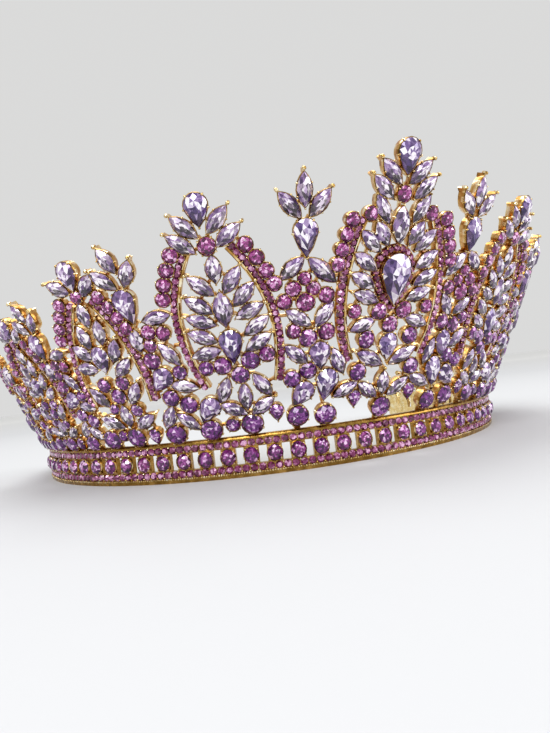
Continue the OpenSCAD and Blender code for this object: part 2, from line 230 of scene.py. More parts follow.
@dataclass(frozen=True)
class Bow:
    """The two legs of a pointed arch, as in the part's source."""

    half: float
    widest: float
    radius_above: float
    radius_below: float
    foot: float
    top: float
    axis: float
    lean: float
    outer_low: float
    outer_high: float
    outer_stones: int = 4
    outer_size: float = 2.7
    outer_row: float = 2.2

    def across(self, side: int, up: float) -> float:
        """Gives how far across a leg stands at a height."""
        radius = self.radius_above if up > self.widest else self.radius_below
        return self.axis - self.lean * up + side * (self.half - (up - self.widest) ** 2 / (2 * radius))

    def point(self, side: int, up: float, out: float = 0.0) -> tuple[float, float]:
        """Gives a point beside a leg.

        Args:
            side: -1 for the left leg, 1 for the right one.
            up: height of the leg's point beside it.
            out: distance from the leg, outwards.

        Returns:
            Across and up.
        """
        slope = side * (self.across(side, up + 0.1) - self.across(side, up - 0.1)) / 0.2
        length = math.hypot(1, slope)
        return self.across(side, up) + out * side / length, up - out * slope / length

    def outer(self) -> list[tuple[float, float, float]]:
        """Gives the seats of the round stones along the outer edge."""
        seats = []
        for side in (-1, 1):
            for k in range(self.outer_stones):
                up = self.outer_low + (self.outer_high - self.outer_low) * k / (self.outer_stones - 1)
                seats.append((*self.point(side, up, self.outer_row), self.outer_size))
        return seats

    def beads(self, side: int, pitch: float) -> list[tuple[float, float, float]]:
        """Gives evenly spaced points along a leg, each with the leg's direction in degrees."""
        ups = np.linspace(self.foot + 0.6, self.top - 0.5, 200)
        path = np.array([self.point(side, u) for u in ups])
        run = np.concatenate([[0], np.cumsum(np.linalg.norm(np.diff(path, axis=0), axis=1))])
        count = max(2, int(run[-1] / pitch))
        found = []
        for s in np.linspace(0, run[-1], count + 1):
            x, y = np.interp(s, run, path[:, 0]), np.interp(s, run, path[:, 1])
            ahead = min(s + 0.2, run[-1])
            behind = max(s - 0.2, 0.0)
            dx = np.interp(ahead, run, path[:, 0]) - np.interp(behind, run, path[:, 0])
            dy = np.interp(ahead, run, path[:, 1]) - np.interp(behind, run, path[:, 1])
            found.append((float(x), float(y), math.degrees(math.atan2(dy, dx))))
        return found


BOWS = {
    "front": Bow(12.65, 30, 40, 34, 15.6, 46.8, 0, 0, 37.2, 45.7),
    "arch_1": Bow(10.65, 27, 24.5, 42, 13, 44.2, 2.3, 0.075, 34.2, 42.4),
    "arch_2": Bow(9.3, 18, 30.5, 60, 11.8, 37.6, 0, 0, 29.2, 36.6),
}


def all_motifs() -> list[Motif]:
    """Lists the wall's motifs by the names that their CAD nodes begin with."""
    motifs = [Motif("front", "front")]
    for word, side in SIDES:
        for name, chart, angle, width, height in SIDE_MOTIFS:
            motifs.append(Motif(f"{word}_{name}", chart, angle, side, width, height))
    return motifs


def tail_motifs(word: str, side: int) -> list[Motif]:
    """Lists the low motifs at one open end of the band."""
    return [
        Motif(f"{word}_tail", "tail", TAIL_FROM + i * TAIL_STEP, side, 1 - TAIL_FALL * i, 1 - TAIL_FALL * i)
        for i in range(TAIL_COUNT)
    ]


# Outlines of the cuts


def marquise_outline() -> np.ndarray:
    """Gives a marquise of half length and half width 1, from its right tip on."""
    t = np.radians(np.arange(STEPS) * 360 / STEPS)
    return np.stack([np.cos(t), np.sign(np.sin(t).round(9)) * np.sin(t) ** 2], 1)


def pear_outline(length: float, width: float, quarter: int = STEPS // 2 - 2) -> np.ndarray:
    """Gives a pear from the top of its round end on; its tip points to -X.

    Args:
        length: its length.
        width: its width.
        quarter: steps round half of its round end.

    Returns:
        The outline.
    """
    r = width / 2
    c = length / 2 - r
    a = math.pi - math.acos(r / (length - r))
    half = [(c + r * math.cos(a * k / quarter), r * math.sin(a * k / quarter)) for k in range(quarter + 1)]
    x, y = half[-1]
    bulge = PEAR_BULGE * length
    half.append(((x - length / 2) / 2 + bulge * math.cos(a), y / 2 + bulge * math.sin(a)))
    half.append((-length / 2, 0.0))
    return np.array(half + [(x, -y) for x, y in half[-2:0:-1]])


def round_outline(count: int = STEPS) -> np.ndarray:
    """Gives a circle of radius 1."""
    t = np.radians(np.arange(count) * 360 / count)
    return np.stack([np.cos(t), np.sin(t)], 1)


def coarse_marquise() -> np.ndarray:
    """Gives the marquise as the CAD solids have it."""
    right = [(x, 1 - x * x) for x in (1, 0.5, 0, -0.5)]
    left = [(x, -(1 - x * x)) for x in (-1, -0.5, 0, 0.5)]
    return np.array(right + left)


class Cut(Enum):
    """The outlines that the stones are cut to."""

    MARQUISE = "marquise"
    PEAR = "pear"
    TALL_PEAR = "tall pear"
    CREST_PEAR = "crest pear"
    DROP = "drop"
    ROUND = "round"

    @property
    def fine(self) -> np.ndarray:
        """Gives the outline that the visible stone has."""
        return OUTLINES[self][0]

    @property
    def coarse(self) -> np.ndarray:
        """Gives the outline that the CAD solid has."""
        return OUTLINES[self][1]


PEARS = {Cut.PEAR: (6.3, 4.6), Cut.TALL_PEAR: (7.6, 4.9), Cut.CREST_PEAR: (6.9, 5.1), Cut.DROP: (11, 7.2)}
OUTLINES = {
    Cut.MARQUISE: (marquise_outline(), coarse_marquise()),
    Cut.ROUND: (round_outline(), round_outline(COARSE_ROUND)),
    **{cut: (pear_outline(*size), pear_outline(*size, COARSE_QUARTER)) for cut, size in PEARS.items()},
}


@dataclass
class Stone:
    """A stone in its place: its outline on that place, and its heights out of it, in millimetres."""

    cut: Cut
    place: Place
    outline: np.ndarray
    middle: np.ndarray
    bottom: float
    girdle: float
    top: float

    @property
    def width(self) -> float:
        """Gives the shorter way across the outline."""
        d = self.outline - self.middle
        ways = np.arange(0, math.pi, 0.2)
        return float(2 * min(np.abs(d @ np.array([math.cos(a), math.sin(a)])).max() for a in ways))

    def normals(self) -> np.ndarray:
        """Gives the outward direction at each outline point, longer at a sharp tip."""
        o = self.outline
        edges = (o - np.roll(o, 1, 0), np.roll(o, -1, 0) - o)
        n = sum(np.stack([e[:, 1], -e[:, 0]], 1) / np.linalg.norm(e, axis=1)[:, None] for e in edges) / 2
        square = np.maximum((n * n).sum(1), 0.45)
        n = n / square[:, None]
        area = float((o[:, 0] * np.roll(o[:, 1], -1) - o[:, 1] * np.roll(o[:, 0], -1)).sum())
        return n if area > 0 else -n


def grown(stones: Sequence[Stone], leaf: float = 0.25, other: float = 0.1, gap: float = 0.03) -> list[Stone]:
    """Gives the stones of one plane with fuller outlines, up to each other's edges.

    Args:
        stones: the stones.
        leaf: most that a marquise or a round grows.
        other: most that a pear grows.
        gap: gap that stays between two stones.

    Returns:
        The fuller stones.
    """
    fuller = []
    for stone in stones:
        others = np.concatenate([o.outline for o in stones if o is not stone])
        room = np.hypot(*(stone.outline[:, None] - others[None]).transpose(2, 0, 1)).min(1)
        grow = np.clip(room / 2 - gap, 0, leaf if stone.cut in (Cut.MARQUISE, Cut.ROUND) else other)
        grow = (grow + np.minimum(np.roll(grow, 1), np.roll(grow, -1))) / 2
        fuller.append(replace(stone, outline=stone.outline + stone.normals() * grow[:, None]))
    return fuller


def stone_at(cut: Cut, place: Place, across: float, up: float, length: float, width: float, turn: float,
             gap: float = 0.15) -> Stone:
    """Sets a new stone on a place.

    Args:
        cut: its outline.
        place: the place that it stands on.
        across: where its middle is.
        up: where its middle is.
        length: size along its axis.
        width: size across it.
        turn: direction of its axis, in degrees.
        gap: height of its lowest point.

    Returns:
        The stone.
    """
    o = cut.fine
    o = o / np.abs(o).max(0) / 2 * np.array([length, width])
    c, s = math.cos(math.radians(turn)), math.sin(math.radians(turn))
    middle = np.array([across, up])
    outline = o @ np.array([[c, s], [-s, c]]) + middle
    girdle = gap + PAVILION_BASE + PAVILION_SHARE * width
    return Stone(cut, place, outline, middle, gap, girdle, girdle + CROWN_BASE + CROWN_SHARE * width)


class CadStones:
    """Reads the stones of a CAD node: each loose solid's outline and heights."""

    def __init__(self, node: str, motifs: Sequence[Motif]) -> None:
        """Keeps the node's name and the motifs that its stones may belong to."""
        self.node = node
        self.motifs = motifs

    def solids(self) -> list[np.ndarray]:
        """Gives the corner points of each loose solid."""
        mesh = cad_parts[self.node].data
        co = np.zeros(len(mesh.vertices) * 3, np.float32)
        mesh.vertices.foreach_get("co", co)
        co = co.reshape(-1, 3).astype(float)
        keys = (co / SAME_POINT).round().astype(np.int64)
        _, first, same = np.unique(keys, axis=0, return_index=True, return_inverse=True)
        same = same.ravel()
        owner = np.arange(len(first))

        def root(i: int) -> int:
            """Finds the solid that a point belongs to."""
            while owner[i] != i:
                owner[i] = owner[owner[i]]
                i = owner[i]
            return i

        for polygon in mesh.polygons:
            corners = [root(same[v]) for v in polygon.vertices]
            for c in corners[1:]:
                owner[root(c)] = root(corners[0])
        groups: dict[int, list[int]] = {}
        for i in range(len(first)):
            groups.setdefault(root(i), []).append(i)
        return [co[first[g]] for g in groups.values()]

    def fit(self, outline: np.ndarray) -> tuple[Cut, np.ndarray]:
        """Finds the cut that an outline has, and its fine outline in the same place."""
        best = (1e9, Cut.ROUND, outline)
        for cut in Cut:
            coarse = cut.coarse
            if len(coarse) != len(outline):
                continue
            known = np.column_stack([coarse, np.ones(len(coarse))])
            for k in range(len(outline)):
                target = np.roll(outline, k, 0)
                way, _, _, _ = np.linalg.lstsq(known, target, rcond=None)
                error = float(np.abs(known @ way - target).max())
                if error < best[0] - 1e-3:
                    best = (error, cut, np.column_stack([cut.fine, np.ones(STEPS)]) @ way)
        return best[1], best[2]

    def read(self) -> list[Stone]:
        """Reads each stone of the node."""
        stones = []
        for points in self.solids():
            angle = math.degrees(math.atan2(points[:, 0].mean(), -points[:, 1].mean()))
            motif = min(self.motifs, key=lambda m: abs(m.side * m.angle - angle))
            flat = motif.place.read(points)
            bottom, top = float(flat[:, 2].min()), float(flat[:, 2].max())
            rim = flat[(flat[:, 2] > bottom + 0.2) & (flat[:, 2] < top - 0.2)]
            order = np.argsort(np.arctan2(*(rim - rim.mean(0)).T[1::-1]))
            cut, outline = self.fit(rim[order, :2])
            middle = flat[flat[:, 2].argmin()][:2]
            stones.append(Stone(cut, motif.place, outline, middle, bottom, float(rim[:, 2].mean()), top))
        return stones


# Modelling


@dataclass
class Form:
    """A modelled form: its points, in its own units, and its faces."""

    points: np.ndarray
    faces: list[tuple[int, ...]]

    def __post_init__(self) -> None:
        """Works out what the copies of the form need."""
        x, y = self.points[:, 0], self.points[:, 1]
        self.out = np.hypot(x, y)
        self.step = (np.degrees(np.arctan2(y, x)) / (360 / STEPS)).round().astype(int) % STEPS
        self.height = self.points[:, 2]
        self.counts = np.array([len(f) for f in self.faces])
        self.corners = np.concatenate(self.faces)
        self.turned_corners = np.concatenate([f[::-1] for f in self.faces])
        self.on_table = np.array([self.points[list(f), 2].min() > 1 - TOUCH for f in self.faces])

    def middles(self, points: np.ndarray) -> np.ndarray:
        """Gives the middle of each face of a copy with these points."""
        starts = np.concatenate([[0], np.cumsum(self.counts)[:-1]])
        return np.add.reduceat(points[self.corners], starts) / self.counts[:, None]


class Bench:
    """Models the repeated forms, each once, with Blender's own tools."""

    @staticmethod
    def clear() -> None:
        """Deselects everything, the CAD nodes among it."""
        if bpy.context.object and bpy.context.object.mode != "OBJECT":
            bpy.ops.object.mode_set(mode="OBJECT")
        bpy.ops.object.select_all(action="DESELECT")

    def start(self, primitive: Callable[..., set[str]], **settings: object) -> None:
        """Adds a primitive, applies its place and size, and enters edit mode."""
        self.clear()
        primitive(**settings)
        bpy.ops.object.transform_apply(location=True)
        bpy.ops.object.mode_set(mode="EDIT")

    @staticmethod
    def select(test: Callable[[Vector], bool], kind: str = "FACE") -> None:
        """Selects the faces, edges or points of the edited mesh whose middle passes a test.

        Args:
            test: takes the middle and tells whether it is selected.
            kind: FACE, EDGE or VERT.
        """
        bpy.ops.mesh.select_mode(type=kind)
        bpy.ops.mesh.select_all(action="DESELECT")
        mesh = bmesh.from_edit_mesh(bpy.context.object.data)
        if kind == "FACE":
            for face in mesh.faces:
                face.select_set(test(face.calc_center_median()))
        elif kind == "EDGE":
            for edge in mesh.edges:
                edge.select_set(test((edge.verts[0].co + edge.verts[1].co) / 2))
        else:
            for vert in mesh.verts:
                vert.select_set(test(vert.co))
        mesh.select_flush_mode()
        bmesh.update_edit_mesh(bpy.context.object.data)

    @staticmethod
    def move(z: float) -> None:
        """Extrudes the selected faces or edges along Z."""
        bpy.ops.mesh.extrude_region_move(TRANSFORM_OT_translate={"value": (0, 0, z)})

    @staticmethod
    def widen(factor: float) -> None:
        """Scales what is selected about the Z axis."""
        bpy.ops.transform.resize(value=(factor, factor, 1))

    @staticmethod
    def tidy() -> None:
        """Merges doubled points and turns the faces outwards."""
        bpy.ops.mesh.select_mode(type="FACE")
        bpy.ops.mesh.select_all(action="SELECT")
        bpy.ops.mesh.remove_doubles(threshold=0.002)
        bpy.ops.mesh.normals_make_consistent(inside=False)

    def take(self) -> Form:
        """Leaves edit mode, and gives and removes the modelled mesh."""
        self.tidy()
        bpy.ops.object.mode_set(mode="OBJECT")
        obj = bpy.context.object
        mesh = obj.data
        points = np.array([v.co for v in mesh.vertices], float)
        form = Form(points, [tuple(p.vertices) for p in mesh.polygons])
        bpy.data.objects.remove(obj)
        bpy.data.meshes.remove(mesh)
        return form

    def brilliant(self, table: float = 0.56, middle: float = 0.8) -> Form:
        """Cuts a brilliant out of a blank, plane by plane, as on a lap, and scores its table with a star.

        Args:
            table: radius of the table.
            middle: radius of the points where the kite and star facets meet.

        Returns:
            The form, with its girdle at radius 1 and height 0, and its table at height 1.
        """
        self.start(bpy.ops.mesh.primitive_cone_add, vertices=STEPS, radius1=0, radius2=1, depth=1,
                   location=(0, 0, -0.5))
        self.select(lambda c: abs(c.z) < TOUCH)
        self.move(1)
        half = math.pi / 8
        meet = (1 - middle * math.cos(half)) / (1 - table)

        def ray(radius: float, angle: float, z: float) -> Vector:
            """Gives a point at a radius, an angle and a height."""
            return Vector((radius * math.cos(angle), radius * math.sin(angle), z))

        planes = []
        for k in range(8):
            a = k * 2 * half
            planes.append((ray(1, a, 0), ray(table, a, 1), ray(1, a, 0) + ray(1, a + math.pi / 2, 0)))
            planes.append((ray(middle, a + half, meet), ray(table, a, 1), ray(table, a + 2 * half, 1)))
            for s in (-1, 1):
                planes.append((ray(middle, a + s * half, meet), ray(1, a, 0), ray(1, a + s * half, 0)))
        for p, q, r in planes:
            normal = (q - p).cross(r - p).normalized()
            if normal.z < 0:
                normal = -normal
            bpy.ops.mesh.select_all(action="SELECT")
            bpy.ops.mesh.bisect(plane_co=p, plane_no=normal, use_fill=True, clear_outer=True, threshold=1e-5)
        chord = table * math.cos(3 * half)
        for k in range(8):
            a = (k + 0.5) * 2 * half
            self.select(lambda c: c.z > 1 - TOUCH)
            bpy.ops.mesh.bisect(plane_co=ray(chord, a, 1), plane_no=ray(1, a, 0), threshold=1e-5)
        return self.take()

    def collet(self) -> Form:
        """Models the cup of a stone.

        Returns:
            The form: its radius less 1 is the distance from the stone's outline in millimetres; 0 is the
            height of its back, 1 that of its rim.
        """
        foot, waist, rim, lip = 0.85, 1.1, 1.19, 1.12
        self.start(bpy.ops.mesh.primitive_cylinder_add, vertices=STEPS, radius=foot, depth=0.5,
                   location=(0, 0, 0.25))
        self.select(lambda c: abs(c.z - 0.5) < TOUCH)
        self.widen(waist / foot)
        for rise, factor in ((0.42, rim / waist), (0.08, lip / rim), (0.0, 1.0 / lip), (-0.35, 0.6)):
            self.move(rise)
            self.widen(factor)
        self.select(lambda c: abs(c.z) < TOUCH)
        bpy.ops.mesh.inset(thickness=0.12)
        return self.take()

    def claw(self) -> Form:
        """Models a prong: a bead of radius 1 on a short stem."""
        self.start(bpy.ops.mesh.primitive_uv_sphere_add, segments=7, ring_count=5, radius=1)
        self.select(lambda c: c.z < -0.4, "VERT")
        bpy.ops.transform.translate(value=(0, 0, -1.5))
        self.widen(1.1)
        return self.take()

    def grain(self) -> Form:
        """Models a grain of gold, with few faces."""
        self.start(bpy.ops.mesh.primitive_ico_sphere_add, subdivisions=1, radius=1)
        self.select(lambda c: c.z < -0.6, "VERT")
        bpy.ops.transform.translate(value=(0, 0, -0.4))
        return self.take()

    def tiny(self) -> Form:
        """Models a tiny eight-sided stone of radius 1: a table and one ring of facets."""
        cylinder = bpy.ops.mesh.primitive_cylinder_add
        self.start(cylinder, vertices=8, radius=1, depth=0.6, location=(0, 0, -0.3))
        self.select(lambda c: abs(c.z) < TOUCH)
        self.move(0.55)
        self.widen(0.58)
        return self.take()

    def bar(self) -> Form:
        """Models a tie of unit length and width, from height 0 to 1, with eased upper edges."""
        self.start(bpy.ops.mesh.primitive_cube_add, size=1, location=(0, 0, 0.5))
        self.select(lambda c: c.z > 0.99 and abs(c.y) > 0.4, "EDGE")
        bpy.ops.mesh.bevel(offset=0.22, segments=2)
        return self.take()

    def strip(self, low: float, high: float, bottom: float, top: float, steps: int, ease: float) -> Form:
        """Models a straight strip that is bent along each leg of each arch.

        Args:
            low: across of its inner side, in millimetres from the leg's line.
            high: across of its outer side.
            bottom: height of its back.
            top: height of its front.
            steps: stretches along it.
            ease: bevel of its front edges.

        Returns:
            The form. Its X runs from 0 at the leg's foot to 1 at its top.
        """
        middle = (low + high) / 2
        self.start(bpy.ops.mesh.primitive_cube_add, size=1, location=(0.5, middle, (bottom + top) / 2),
                   scale=(1, high - low, top - bottom))
        self.select(lambda c: c.z > top - TOUCH and abs(c.y - middle) > 1e-3, "EDGE")
        bpy.ops.mesh.bevel(offset=ease, segments=2)
        for k in range(1, steps):
            bpy.ops.mesh.select_all(action="SELECT")
            bpy.ops.mesh.bisect(plane_co=(k / steps, 0, 0), plane_no=(1, 0, 0))
        return self.take()


@dataclass(frozen=True)
class Tones:
    """How light a cut's facets are painted: a base, painted lighter towards the stone's top, chance, and a
    few sparks that are painted highlights.
    """

    base: float
    rise: float
    spread: float
    spark: float = 0.0
    rare: float = 1.0

    def give(self, rise: np.ndarray, chance: np.ndarray) -> np.ndarray:
        """Gives each facet's tone."""
        spark = self.spark * (chance > self.rare)
        return self.base + self.rise * rise + self.spread * (chance - 0.5) + spark


# Painted tones of a stone's table, and of the facets round it: lighter towards the stone's top, with painted
# highlights
TONES = {
    Cut.ROUND: (Tones(0.42, 0.3, 0.6, 0.35, 0.88), Tones(0.24, 0.1, 0.5, 0.4, 0.85)),
    Cut.MARQUISE: (Tones(0.47, 0.85, 1.0), Tones(0.4, 0.15, 0.6, 0.4, 0.85)),
    Cut.PEAR: (Tones(0.47, 0.85, 1.0), Tones(0.3, 0.15, 0.6, 0.4, 0.85)),
}


class Heap:
    """Gathers copies of modelled forms into one mesh."""

    def __init__(self, name: str) -> None:
        """Starts an empty heap."""
        self.name = name
        self.points: list[np.ndarray] = []
        self.corners: list[np.ndarray] = []
        self.counts: list[np.ndarray] = []
        self.glint: list[np.ndarray] = []
        self.tint: list[np.ndarray] = []
        self.depth: list[np.ndarray] = []
        self.size = 0
        self.chance = np.random.default_rng(sum(ord(c) * (i + 1) for i, c in enumerate(name)))

    def add(self, form: Form, place: Place, points: np.ndarray, glint: np.ndarray | None = None,
            tint: np.ndarray | float = 0.0, flip: bool | None = None) -> None:
        """Adds one copy.

        Args:
            form: the modelled form.
            place: the place that it stands on.
            points: the copy's points on that place, in millimetres.
            glint: painted reflection tone of each face, from 0 to 1, where it isn't left to chance.
            tint: share of the finish's second colours.
            flip: turns its faces over, if that isn't as the place has it.
        """
        turned = place.flipped if flip is None else flip
        self.corners.append((form.turned_corners if turned else form.corners) + self.size)
        self.counts.append(form.counts)
        # Left to chance, each face gets a random painted reflection tone.
        self.glint.append(self.chance.random(len(form.counts)) if glint is None else glint)
        self.tint.append(np.broadcast_to(tint, len(form.counts)))
        self.depth.append(points[:, 2])
        self.points.append(place.put(points))
        self.size += len(points)

    def gem(self, stone: Stone, form: Form, tint: float | None = None) -> None:
        """Adds a cut stone, in the form of its CAD solid, with painted light: its facets lighter above than
        below.

        Args:
            stone: the stone.
            form: the modelled cut.
            tint: share of the finish's second colours; left out, they lie low on the table as a painted
                reflection.
        """
        flat = stone.middle + form.out[:, None] * (stone.outline[form.step] - stone.middle)
        up = np.where(form.height > 0, form.height * (stone.top - stone.girdle),
                      form.height * (stone.girdle - stone.bottom))
        points = np.column_stack([flat, stone.girdle + up])
        rise = form.middles(points)[:, 1] - stone.middle[1]
        rise = rise / np.abs(stone.outline[:, 1] - stone.middle[1]).max()
        chance, other = self.chance.random((2, len(rise)))
        # Painted light: each facet's tone rises towards the stone's top, with a few painted highlights.
        inner, outer = (tones.give(rise, chance) for tones in TONES.get(stone.cut, TONES[Cut.PEAR]))
        # Painted reflection: left out, the second colours lie low on the table and low on the stone.
        if tint is None:
            grey = 0.3 if stone.cut is Cut.MARQUISE else -0.2
            lie = np.where(form.on_table, 0.3 - 0.8 * rise, 0.1 - 0.4 * rise)
            tint = grey + lie + 1.2 * (other - 0.5)
        glint = np.clip(np.where(form.on_table, inner, outer), 0, 1)
        self.add(form, stone.place, points, glint, np.clip(tint, 0, 1))

    def collet(self, stone: Stone, form: Form, back: float, rim: float) -> None:
        """Adds a stone's cup.

        Args:
            stone: the stone.
            form: the cup's form.
            back: height of its back.
            rim: how far its rim stands above the stone's widest line.
        """
        flat = stone.outline[form.step] + stone.normals()[form.step] * (form.out[:, None] - 1)
        up = back + form.height * (stone.girdle + rim - back)
        points = np.column_stack([flat, up])
        # Painted shadow: the rim's faces get darker tones where the stone shades the rim; the sides get
        # lighter painted reflections.
        on_rim = form.middles(points)[:, 2] > stone.girdle + rim - 0.15
        chance = self.chance.random(len(form.counts))
        self.add(form, stone.place, points, chance * np.where(on_rim, 0.5, 0.65) + np.where(on_rim, 0.0, 0.3))

    def set_down(self, form: Form, place: Place, at: Sequence[float], size: Sequence[float],
                 turn: float = 0.0, lean: Sequence[float] = (0.0, 0.0), darkest: float = 0.35) -> None:
        """Adds a bead, prong, bar or tiny stone.

        Args:
            form: the modelled form.
            place: the place that it stands on.
            at: across, up and out of its middle.
            size: its size along each of its own axes.
            turn: its turn in degrees.
            lean: how far its top leans across and up, for each unit of height.
            darkest: painted reflection tone of its darkest face.
        """
        p = form.points * np.array(size)
        c, s = math.cos(math.radians(turn)), math.sin(math.radians(turn))
        x = p[:, 0] * c - p[:, 1] * s + lean[0] * p[:, 2]
        y = p[:, 0] * s + p[:, 1] * c + lean[1] * p[:, 2]
        glint = darkest + (1 - darkest) * self.chance.random(len(form.counts))
        self.add(form, place, np.column_stack([x, y, p[:, 2]]) + np.array(at), glint)

    def tie(self, form: Form, place: Place, start: np.ndarray, end: np.ndarray, width: float, back: float,
            front: float) -> None:
        """Adds a bar between two points of a place."""
        d = end - start
        length = float(np.hypot(*d))
        middle = (start + end) / 2
        turn = math.degrees(math.atan2(d[1], d[0]))
        self.set_down(form, place, (*middle, back), (length, width, front - back), turn)

    def build(self, material: bpy.types.Material, slot: str, *replaced: str, smooth: bool = False) -> None:
        """Makes the heap a piece of the crown.

        Args:
            material: its finish.
            slot: the record's material slot; not used.
            replaced: CAD nodes that it stands for.
            smooth: shades rounded forms smooth.
        """
        mesh = bpy.data.meshes.new(self.name)
        corners, counts = np.concatenate(self.corners), np.concatenate(self.counts)
        mesh.vertices.add(self.size)
        mesh.vertices.foreach_set("co", np.concatenate(self.points).ravel())
        mesh.loops.add(len(corners))
        mesh.loops.foreach_set("vertex_index", corners)
        mesh.polygons.add(len(counts))
        mesh.polygons.foreach_set("loop_start", np.concatenate([[0], np.cumsum(counts)[:-1]]))
        mesh.update(calc_edges=True)
        for key, domain, values in (
            ("glint", "FACE", self.glint), ("tint", "FACE", self.tint), ("depth", "POINT", self.depth),
        ):
            mesh.attributes.new(key, "FLOAT", domain).data.foreach_set("value", np.concatenate(values))
        mesh.materials.append(material)
        mesh.polygons.foreach_set("use_smooth", np.full(len(counts), smooth))
        if smooth:
            mesh.set_sharp_from_angle(angle=math.radians(40))
        mesh.validate()
        obj = bpy.data.objects.new(self.name, mesh)
        bpy.context.scene.collection.objects.link(obj)
        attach(obj, BODY)
        if replaced:
            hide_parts(*replaced)
        LOG.info("%s: %d faces", self.name, len(counts))


# Materials


class Sheet:
    """The node tree of one material."""

    def __init__(self, name: str) -> None:
        """Starts an empty material."""
        self.material = bpy.data.materials.new(name)
        self.material.use_nodes = True
        self.tree = self.material.node_tree
        self.tree.nodes.clear()

    def add(self, kind: str, settings: dict | None = None, inputs: dict | None = None) -> bpy.types.Node:
        """Adds a node.

        Args:
            kind: the node's type.
            settings: its options, set first. "stops" gives a ramp's stops.
            inputs: values or links of its sockets.

        Returns:
            The node.
        """
        node = self.tree.nodes.new(kind)
        for key, value in (settings or {}).items():
            if key == "stops":
                ramp = node.color_ramp
                while len(ramp.elements) < len(value):
                    ramp.elements.new(1.0)
                for element, (at, colour) in zip(ramp.elements, value):
                    element.position = at
                    element.color = (*colour, 1.0)
            else:
                setattr(node, key, value)
        for key, value in (inputs or {}).items():
            socket = node.inputs[key]
            if isinstance(value, Shade):
                self.tree.links.new(value.socket, socket)
            elif value is not None:
                socket.default_value = value
        return node

    def shade(self, kind: str, settings: dict | None = None, inputs: dict | None = None,
              output: str | int = 0) -> "Shade":
        """Adds a node and gives one of its outputs."""
        return Shade(self, self.add(kind, settings, inputs).outputs[output])

    def blend(self, amount: "Shade | float", low: "Shade | tuple", high: "Shade | tuple") -> "Shade":
        """Mixes two colours."""
        return self.shade("ShaderNodeMix", {"data_type": "RGBA"}, {0: amount, 6: low, 7: high}, 2)

    def ramp(self, value: "Shade", stops: Stops) -> "Shade":
        """Turns a value into a colour."""
        return self.shade("ShaderNodeValToRGB", {"stops": stops}, {0: value})

    def attribute(self, name: str) -> "Shade":
        """Reads a number that the mesh carries."""
        return self.shade("ShaderNodeAttribute", {"attribute_name": name}, None, "Fac")

    def noise(self, where: "Shade", scale: float, detail: float = 2.0) -> "Shade":
        """Gives a cloudy number from 0 to 1."""
        return self.shade("ShaderNodeTexNoise", None, {"Vector": where, "Scale": scale, "Detail": detail})

    def where(self) -> "Shade":
        """Gives the place on the object."""
        return self.shade("ShaderNodeTexCoord", None, None, "Object")

    def finish(self, **inputs: object) -> bpy.types.Material:
        """Closes the material with its surface."""
        sockets = {key.replace("_", " "): value for key, value in inputs.items()}
        surface = self.add("ShaderNodeBsdfPrincipled", None, sockets)
        output = self.add("ShaderNodeOutputMaterial")
        self.tree.links.new(surface.outputs[0], output.inputs["Surface"])
        return self.material


class Shade:
    """An output socket that takes part in arithmetic."""

    def __init__(self, sheet: Sheet, socket: bpy.types.NodeSocket) -> None:
        """Wraps a socket."""
        self.sheet = sheet
        self.socket = socket

    def _math(self, operation: str, first: "Shade | float", second: "Shade | float") -> "Shade":
        """Adds a Math node."""
        return self.sheet.shade("ShaderNodeMath", {"operation": operation}, {0: first, 1: second})

    def __add__(self, other: "Shade | float") -> "Shade":
        """Adds."""
        return self._math("ADD", self, other)

    def __radd__(self, other: float) -> "Shade":
        """Adds to a number."""
        return self._math("ADD", other, self)

    def __sub__(self, other: "Shade | float") -> "Shade":
        """Subtracts."""
        return self._math("SUBTRACT", self, other)

    def __rsub__(self, other: float) -> "Shade":
        """Subtracts from a number."""
        return self._math("SUBTRACT", other, self)

    def __mul__(self, other: "Shade | float") -> "Shade":
        """Multiplies."""
        return self._math("MULTIPLY", self, other)

    def __rmul__(self, other: float) -> "Shade":
        """Multiplies a number."""
        return self._math("MULTIPLY", other, self)


def srgb(red: float, green: float, blue: float) -> Colour:
    """Turns a colour as seen on screen, 0 to 255, into the linear one that shaders take."""
    shares = (c / 255 for c in (red, green, blue))
    return tuple(c / 12.92 if c <= 0.04045 else ((c + 0.055) / 1.055) ** 2.4 for c in shares)


def stops(*rows: tuple[float, float, float, float]) -> Stops:
    """Gives a ramp's stops from rows of place, red, green and blue."""
    return tuple((at, srgb(*colour)) for at, *colour in rows)


@dataclass(frozen=True)
class GoldFinish:
    """Bright gold plate with painted dark and light reflections, painted browner shade in its hollows, and a
    faint cast grain.
    """

    # Painted reflections, from dark to pale gold, picked by each face's glint tone.
    tones: Stops = stops(
        (0.0, 72, 52, 20), (0.25, 130, 96, 40), (0.5, 190, 150, 80), (0.75, 232, 204, 138),
        (1.0, 255, 248, 214),
    )
    # Painted shade in the hollows, with a painted reflection of the stones.
    shade_colour: Colour = srgb(184, 104, 44)
    shade_share: float = 0.55
    back: float = 0.9
    clouds: float = 1.2
    cloud_scale: float = 650.0
    grain_scale: float = 3500.0
    roughness: float = 0.16

    def make(self, name: str, shade_hollows: bool = False) -> bpy.types.Material:
        """Builds the material.

        Args:
            name: its name.
            shade_hollows: whether painted shade, with a painted reflection of the stones, browns it between
                the openwork's front and back, by the depth attribute.

        Returns:
            The material.
        """
        s = Sheet(name)
        where = s.where()
        cloud = s.noise(where, self.cloud_scale, 3.0)
        grain = s.noise(where, self.grain_scale)
        # Painted reflections: each face's glint tone picks a colour from dark to pale gold.
        colour = s.ramp(s.attribute("glint") + self.clouds * (cloud - 0.5), self.tones)
        if shade_hollows:
            # Painted shade and a painted reflection of the stones, browner between the plate and the rims.
            depth = s.attribute("depth")
            painted_shade = (1.0 - depth) * (depth + self.back) * self.shade_share
            colour = s.blend(painted_shade, colour, (*self.shade_colour, 1.0))
        relief = {"Strength": 0.25, "Distance": 0.00012, "Height": grain + cloud}
        bump = s.shade("ShaderNodeBump", None, relief)
        return s.finish(Base_Color=colour, Metallic=1.0, Roughness=self.roughness + 0.2 * cloud, Normal=bump)


